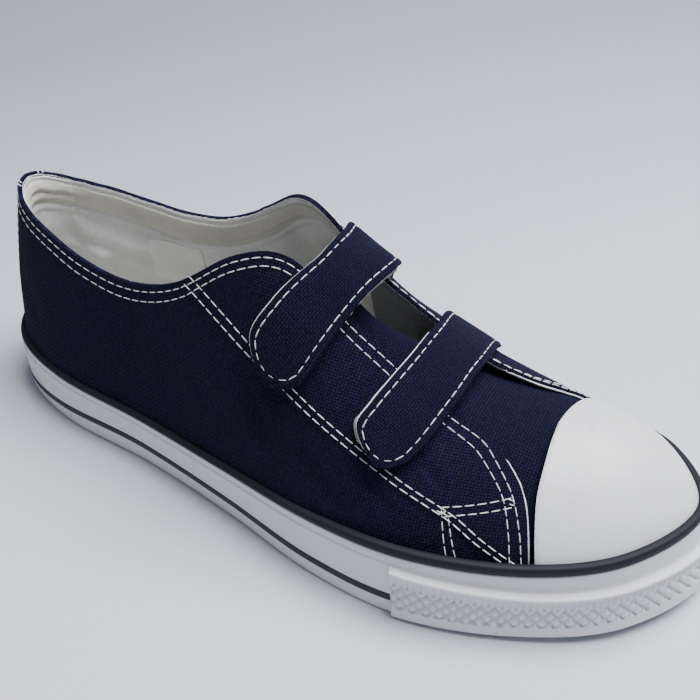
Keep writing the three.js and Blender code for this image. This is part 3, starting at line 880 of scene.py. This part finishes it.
def bumperShape(u, v):
    # its top edge and its two ends are buried in the band
    start = bumper["start"] - 0.05 * v
    place = start + (ring - 2 * start) * u
    top = along(bumper["topAt"], bumper["top"], np.minimum(place, ring - place))
    bottom = bumper["bottom"]
    height = bottom + (top - bottom) * v
    under = top - height
    out = bumper["base"] + bumperRelief(bumperLength(place), under, height)
    out -= bumper["buried"] * ramp(0.4 - under, 0.4) ** 2
    out -= bumper["footRound"] * ramp(1.4 - (height - bottom), 1.4) ** 2
    ends = np.minimum(u, 1 - u) * bumper["columns"]
    out -= bumper["buried"] * np.clip(1 - ends / 2.5, 0, 1) ** 2
    return wallPoint(place, height, out)


sheetPiece("toe_guard", bumper, bumperShape, inToe, bumperRubber, "bumper_rubber", ["toe_bumper"])
print("bumper made")

# toe cap
cap = {
    "columns": 130, "rows": 60, "thickness": 1.4, "rounding": 0.45, "segments": 3,
    "outer": 1.5, "edgeDrop": 0.35, "skirt": 0.35,
    "rise": [0, 0.5, 0.76, 0.95, 1.2, 1.35, 1.47, math.pi / 2],
    "rear": [7.06, 7.01, 7.0, 7.03, 7.1, 7.165, 7.24, 7.32],
}


def capShape(u, v):
    # columns run over the cap from side to side, rows from its rear edge to the toe
    over = -cap["skirt"] + (math.pi + 2 * cap["skirt"]) * u
    inner = over > math.pi / 2
    rise = np.where(inner, math.pi - over, over)
    start = along(cap["rise"], cap["rear"], np.maximum(rise, 0))
    place = start + (lastRow - start) * v
    slope = np.clip(v * cap["rows"] / 2.0, 0, 1)
    offset = cap["outer"] - cap["edgeDrop"] * (1 - slope) ** 2
    return lastPoint(np.where(inner, -place, place), rise, offset)


sheetPiece("toe_cap_rubber", cap, capShape, (90, 0, 20), capRubber, "cap_rubber", ["toe_cap"], join=1e-6)
print("cap made")

# straps, from the loose end to the sewn one: over in radians, edges as places, lifts in mm
rearStrap = {
    "over": [0.55, 0.7, 0.9, 1.17, 1.4, 1.74, 2, 2.25, 2.5],
    "rear": [4.2, 4.19, 4.3, 4.43, 4.5, 4.5, 4.42, 4.31, 4.2],
    "front": [4.6, 4.71, 4.79, 4.87, 4.95, 5.04, 4.93, 4.77, 4.65],
    "liftRear": [2.1, 2.1, 2.1, 1.4, 1.4, 1.8, 1.8, 1.0, 0.5],
    "liftFront": [2.1, 2.1, 2.3, 3.2, 6.6, 10.6, 6.6, 2.6, 0.5],
    "name": "rear_strap_cloth", "node": "strap_rear", "pad": "closure_rear",
}
frontStrap = {
    "over": [0.58, 0.72, 0.88, 1.12, 1.4, 1.74, 2.05, 2.35, 2.62],
    "rear": [5.34, 5.24, 5.29, 5.37, 5.44, 5.46, 5.4, 5.31, 5.23],
    "front": [5.7, 5.79, 5.88, 5.96, 6.03, 6.05, 6, 5.93, 5.84],
    "liftRear": [2.1, 2.1, 2.1, 1.5, 2, 2.8, 2.6, 1.6, 0.5],
    "liftFront": [2.1, 2.1, 2.1, 2.1, 2.6, 3, 2.4, 1.2, 0.5],
    "name": "front_strap_cloth", "node": "strap_front", "pad": "closure_front",
}
strapCloth = {
    "columns": 34, "rows": 120, "thickness": 1.9, "rounding": 0.45, "outer": 2.5, "width": 20,
    "edge": 0.8, "dip": 0.28, "wave": 0.16, "roundEnd": 0.17, "radianLength": 52,
}


def strapPoint(strap, over, share, extra):
    # share runs across the strap from its rear edge to its front edge
    rear = along(strap["over"], strap["rear"], over)
    front = along(strap["over"], strap["front"], over)
    lift = along(strap["over"], strap["liftRear"], over) * (1 - share)
    lift = lift + along(strap["over"], strap["liftFront"], over) * share
    return overPoint(rear + (front - rear) * share, over, lift + extra)


def halfWidth(strap, over):
    # half the strap's width as a share of the whole; it narrows round the loose end
    reach = np.clip((over - strap["over"][0]) / strapCloth["roundEnd"], 0, 1)
    return 0.5 * np.sqrt(np.clip(1 - (1 - reach) ** 2, 0.0016, 1))


def onCloth(strap, u, v):
    tip, root = strap["over"][0], strap["over"][-1]
    over = tip + (root - tip) * v**1.25     # rows are closer together at the loose end
    half = halfWidth(strap, over)
    return over, half, 0.5 - half + 2 * half * u


# hook-and-loop tape under each strap: over in radians, edges as shares of the strap's width
loopPad = {
    "columns": 40, "rows": 90, "thickness": 1.1, "from": 0.05, "short": 0.4,
    "rear": 0.03, "front": 0.93, "frontOut": 0.14, "tipOut": 0.12,
}
# white thread along the strap's rear edge
edgeThread = {"columns": 160, "radius": 0.36, "from": 0.045, "to": 1.6, "out": 0.018, "lift": 0.75}
bothStraps = (rearStrap, frontStrap)
for strap in bothStraps:
    def clothShape(u, v, strap=strap):
        over, half, share = onCloth(strap, u, v)
        side = np.minimum(u, 1 - u) * 2 * half * strapCloth["width"]
        dome = strapCloth["edge"] * (1 - ramp(side, 1.3)) ** 2
        dip = strapCloth["dip"] * np.exp(-((side - 2.6) / 0.5) ** 2)
        wave = strapCloth["wave"] * np.sin(9 * over + 4 * u) * np.sin(5 * over)
        return strapPoint(strap, over, share, strapCloth["outer"] - dome - dip + wave)

    def grain(u, v, strap=strap):
        over, half, share = onCloth(strap, u, v)
        return np.stack([strapCloth["width"] * share, strapCloth["radianLength"] * over], -1)

    def rearEdge(u, strap=strap):
        over = strap["over"][0] + edgeThread["from"] + (edgeThread["to"] - strap["over"][0]) * u
        share = 0.5 - halfWidth(strap, over) - edgeThread["out"]
        centre = strapPoint(strap, over, share, edgeThread["lift"])
        return centre, strapPoint(strap, over, share, edgeThread["lift"] + 1) - centre

    sheetPiece(
        strap["name"], strapCloth, clothShape, underStraps, strapCanvas, "strap_canvas", [strap["node"]],
        cloth=grain)
    bm = cord(edgeThread["columns"], rearEdge, edgeThread["radius"])
    finishPiece("edge_line_" + strap["node"], bm, threadWhite)
print("straps made")

for strap in bothStraps:
    def padShape(u, v, strap=strap):
        tip = strap["over"][0]
        over = tip + loopPad["from"] + (strap["over"][-1] - loopPad["short"] - tip) * v
        # it stands out in front under the rear strap, and behind at the tip of the front one
        out = loopPad["frontOut"] * ramp(over - 0.8, 0.5) * ramp(1.6 - over, 0.15)
        left = loopPad["tipOut"] * np.exp(-((over - 0.7) / 0.13) ** 2)
        rear = loopPad["rear"] - left * (strap is frontStrap)
        front = np.minimum(loopPad["front"] + out * (strap is rearStrap), 0.44 + halfWidth(strap, over))
        pile = 0.12 * np.sin(61 * u + 7 * v) * np.sin(97 * v + 5 * u)
        pile += 0.08 * np.sin(133 * u) * np.sin(171 * v)
        return strapPoint(strap, over, rear + (front - rear) * u, -0.1 + pile)

    sheetPiece(
        "loop_tape_" + strap["node"][6:], loopPad, padShape, underStraps, loopTape, "hook_and_loop",
        [strap["pad"]])
print("closures made")

# insole
insole = {
    "columns": 110, "rows": 36, "thickness": 3.6, "rounding": 0.5, "top": 10.2, "inset": 3.2, "cup": 0.9,
}


def insoleShape(u, v):
    # u runs from heel to toe, v across
    place = lastRow * (1 - np.cos(math.pi * u)) / 2
    out = -last["sideInset"] - insole["inset"]
    outer = wallPoint(place, 6.0, out)
    inner = wallPoint(-place, 6.0, out)
    point = outer + (inner - outer) * v[:, None]
    cup = insole["cup"] * np.abs(2 * v - 1) ** 4 * ramp(-point[:, 0], 40)
    point[:, 2] = insole["top"] + springAt(point[:, 0]) + cup
    return point


bm = gridSheet(insole["columns"], insole["rows"], insoleShape, join=1e-6)
bmesh.ops.recalc_face_normals(bm, faces=bm.faces)
outwards(bm, (0, 0, -2000))
insolePiece = finishPiece("insole_pad", bm, insoleCotton, ["insole"])
giveThickness(insolePiece, insole["thickness"], insole["rounding"])

# stitches, in mm; inStrap is the row's share of the strap's width, in from its edge
stitch = {"width": 0.35, "height": 0.24, "length": 3.0, "gap": 0.46, "inStrap": 0.115, "closingLift": 0.26}


def oneStitch():
    # a rounded bar along z whose two ends dip into the cloth
    bm = bmesh.new()
    bmesh.ops.create_uvsphere(bm, u_segments=6, v_segments=6, radius=1)
    for vert in bm.verts:
        x, y, z = vert.co
        reach = math.hypot(x, y)
        fill = min(1.0, 1.3 * reach) / max(reach, 1e-6)
        vert.co = (x * fill, y * fill - 0.55 * z * z, z)
    bm.verts.index_update()
    points = np.array([vert.co for vert in bm.verts])
    # the sphere's faces come in another order each run, so they are sorted
    faces = sorted([vert.index for vert in face.verts] for face in bm.faces)
    bm.free()
    return points, faces


stitchPoints, stitchFaces = oneStitch()


def pathOn(keys, count=400):
    # dense points along a line given by (place, rise) keys, smooth between them
    keys = np.array(keys, float)
    walk = np.arange(len(keys))
    at = np.linspace(0, len(keys) - 1, count)
    return along(walk, keys[:, 0], at), along(walk, keys[:, 1], at)


def sewLine(sewn, surface, place, rise, thick=1.0, whole=False):
    # one bar of thread after another, each bedded into the cloth at both ends
    centre = surface(place, rise, 0.04)
    lifted = surface(place, rise, 1.04)
    walk = walked(np.linalg.norm(np.diff(centre, axis=0), axis=1))
    count = 1 if whole else max(int(round(walk[-1] / (stitch["length"] + stitch["gap"]))), 1)
    pitch = walk[-1] / count
    starts = pitch * np.arange(count)
    gap = 0 if whole else stitch["gap"]

    def at(distance, values):
        return np.stack([np.interp(distance, walk, values[:, k]) for k in range(3)], -1)

    first, final = at(starts, centre), at(starts + pitch - gap, centre)
    lift = at(starts + pitch / 2, lifted - centre)
    half = (final - first) / 2
    side = unit(np.cross(half, lift))
    up = unit(np.cross(side, half)) * stitch["height"] * thick
    side = side * stitch["width"] / 2 * thick
    for n in range(count):
        axes = np.stack([side[n], up[n], half[n]])
        sewn.append(inMetres((first[n] + final[n]) / 2 + stitchPoints @ axes))


def sewnPiece(name, sewn):
    mesh = bpy.data.meshes.new(name)
    size = len(stitchPoints)
    faces = [[v + n * size for v in face] for n in range(len(sewn)) for face in stitchFaces]
    mesh.from_pydata(np.concatenate(sewn), [], faces)
    bm = bmesh.new()
    bm.from_mesh(mesh)
    bpy.data.meshes.remove(mesh)
    bmesh.ops.recalc_face_normals(bm, faces=bm.faces)
    return finishPiece(name, bm, threadWhite)


stitches = []
collarAt = np.linspace(-4.6, 4.6, 1400)
deeper = 1 + 0.25 * np.clip(np.abs(collarAt) - 3.6, 0, 1)
for depth in (0.033, 0.078):            # two rows under the collar edge
    sewLine(stitches, quarterPoint, collarAt, edgeRise(collarAt) - depth * deeper)

# seams on both sides as (place, rise) keys
seams = {
    "lower": [(3.44, 0.71), (3.8, 0.635), (4.12, 0.585), (4.46, 0.57), (5.2, 0.55), (5.64, 0.52), (6.2, 0.43),
              (6.55, 0.24), (6.88, 0.0)],
    "facingOuter": [(4.62, 1.12), (4.88, 1.13), (5.32, 1.13), (5.94, 1.09), (6.22, 1.05), (6.4, 0.97),
                    (6.66, 0.72), (6.78, 0.4), (6.84, 0.02)],
    "facingInner": [(4.62, 1.18), (4.9, 1.2), (5.34, 1.205), (5.98, 1.16), (6.26, 1.13), (6.44, 1.06),
                    (6.74, 0.76), (6.88, 0.4), (6.94, 0.02)],
}
# crossing rows and bar tacks at the front of the facing
bars = (
    [(6.16, 0.49), (6.45, 0.59), (6.77, 0.72)], [(6.22, 0.43), (6.5, 0.53), (6.79, 0.64)],
    [(6.18, 0.49), (6.24, 0.3), (6.32, 0.03)], [(6.26, 0.43), (6.32, 0.26), (6.4, 0.03)],
    [(6.14, 0.46), (6.2, 0.48), (6.26, 0.44)], [(6.16, 0.43), (6.2, 0.45), (6.24, 0.49)],
    [(6.74, 0.66), (6.78, 0.7), (6.8, 0.64)], [(6.72, 0.7), (6.76, 0.67), (6.8, 0.7)],
)
for side in (1, -1):
    for name, keys in seams.items():
        place, rise = pathOn(keys)
        sewLine(stitches, quarterPoint, side * place, rise)
        if name == "lower":         # second row, further from the sole
            sewLine(stitches, quarterPoint, side * (place + 0.04), rise + 0.045)
    for keys in bars:
        place, rise = pathOn(keys, 120)
        sewLine(stitches, quarterPoint, side * place, rise)


def overStay(place, rise, offset):
    return quarterPoint(place, rise, offset + 0.45)


for at in heelStay["seams"]:            # two rows on each side of the heel stay
    rise = np.linspace(0.02, 0.74, 200)
    sewLine(stitches, overStay, at * stayTaper(rise), rise)


def overCollar(place, share, offset):
    # across the folded edge, from the outer face to the lining
    point = quarterPoint(place, edgeRise(place) + 0.004, 0.7 - 2.6 * share)
    point[..., 2] += offset
    return point


for at in heelStay["seams"]:
    share = np.linspace(0, 1, 30)
    sewLine(stitches, overCollar, np.full(30, at * 0.86), share, thick=1.3, whole=True)
sewnPiece("seam_stitches", stitches)

for strap in bothStraps:
    stitches = []
    tip, root = strap["over"][0], strap["over"][-1]
    edge = stitch["inStrap"]

    def onStrap(share, over, offset, strap=strap):
        return strapPoint(strap, over, share, strapCloth["outer"] - 0.2 + offset)

    def raised(share, over, offset):
        return onStrap(share, over, offset + stitch["closingLift"])

    # down the rear edge, round the loose end and up the front edge
    bend = np.linspace(0, math.pi, 160)
    radius = 0.5 - edge
    reach = (strapCloth["roundEnd"] - 0.05) * (1 - np.sin(bend))
    straight = np.linspace(root - 0.02, tip + strapCloth["roundEnd"], 300)
    share = np.concatenate([
        np.full(300, edge), 0.5 - radius * np.cos(bend), np.full(300, 1 - edge)])
    over = np.concatenate([straight, tip + 0.05 + reach, straight[::-1]])
    sewLine(stitches, onStrap, share, over)
    for back in (0.03, 0.2):
        share = np.linspace(edge, 1 - edge, 40)
        sewLine(stitches, raised, share, np.full(40, root - back))
    sewnPiece("stitches_" + strap["node"], stitches)
print("stitches made")

# outsole keeps its solid and gets its own rubber
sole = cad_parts["outsole"]
sole.data.materials.clear()
sole.data.materials.append(treadRubber)

# floor, light and camera: colours, world strength and watts
studio = {
    "floor": "#d5d7e2", "farFloorShade": "#9ca2b8", "skyColour": "#e2e3ea", "sky": 0.25,
    "overhead": 24.6, "fill": 1.0,
}
# matt seamless paper: no gloss; its colour is a little darker towards the back, which is painted shade where
# less light reaches
paper, tree, shader = principled("matBackdropPaper", studio["floor"], 0.9, Specular_IOR_Level=0.2)
spread = addNode(tree, "TexCoord").outputs["Object"]
away = addNode(tree, "VectorMath", {0: spread, 1: (-0.62, 0.78, 0)}, operation="DOT_PRODUCT")
paintedFalloff = addNode(
    tree, "MapRange", {"Value": away, "From Min": -0.1, "From Max": 0.42}, interpolation_type="SMOOTHSTEP")
tone = addNode(
    tree, "Mix", {"Factor": paintedFalloff, "A": linearColour(studio["floor"]), "B": linearColour(studio["farFloorShade"])},
    data_type="RGBA")
connect(shader, {"Base Color": tone})
bm = bmesh.new()
bmesh.ops.create_grid(bm, x_segments=2, y_segments=2, size=4)
meshObject("floor", bm, paper)

world = bpy.data.worlds.new("studio")
bpy.context.scene.world = world
world.use_nodes = True
connect(world.node_tree.nodes["Background"], {
    "Color": linearColour(studio["skyColour"]), "Strength": studio["sky"]})


def areaLight(name, place, aim, size, power, colour):
    light = bpy.data.lights.new(name, "AREA")
    light.shape = "DISK"
    light.size = size
    light.energy = power
    light.color = linearColour(colour)[:3]
    lamp = linkedObject(name, light)
    lamp.location = place
    lamp.rotation_mode = "QUATERNION"
    lamp.rotation_quaternion = (Vector(aim) - Vector(place)).to_track_quat("-Z", "Y")


areaLight("overhead", (0.25, 0.25, 0.95), (0, 0, 0.03), 0.8, studio["overhead"], "#ffffff")
areaLight("front_fill", (0.5, -1.2, 0.9), (0, 0, 0.03), 1.0, studio["fill"], "#e6eaff")

# the camera's angles in degrees, then mm
view = {
    "azimuth": 28.73, "elevation": 39.6, "roll": -0.56,
    "distance": 337.0, "target": (-2.85, 29.4, 20.0), "lens": 48.86,
}
camera = bpy.data.cameras.new("camera")
camera.lens = view["lens"]
camera.sensor_width = 36
camera.clip_start = 0.01
camera.clip_end = 20
viewer = linkedObject("camera", camera)
azimuth, elevation, roll = (math.radians(view[key]) for key in ("azimuth", "elevation", "roll"))
back = Vector((
    math.sin(azimuth) * math.cos(elevation), -math.cos(azimuth) * math.cos(elevation), math.sin(elevation)))
right = Vector((math.cos(azimuth), math.sin(azimuth), 0))
up = back.cross(right)
rolledRight = right * math.cos(roll) + up * math.sin(roll)
rolledUp = up * math.cos(roll) - right * math.sin(roll)
spot = Vector(inMetres(np.array([view["target"]]))[0]) + back * (view["distance"] / 1000)
viewer.matrix_world = Matrix((
    (rolledRight.x, rolledUp.x, back.x, spot.x), (rolledRight.y, rolledUp.y, back.y, spot.y),
    (rolledRight.z, rolledUp.z, back.z, spot.z), (0, 0, 0, 1)))
bpy.context.scene.camera = viewer
print("camera set")
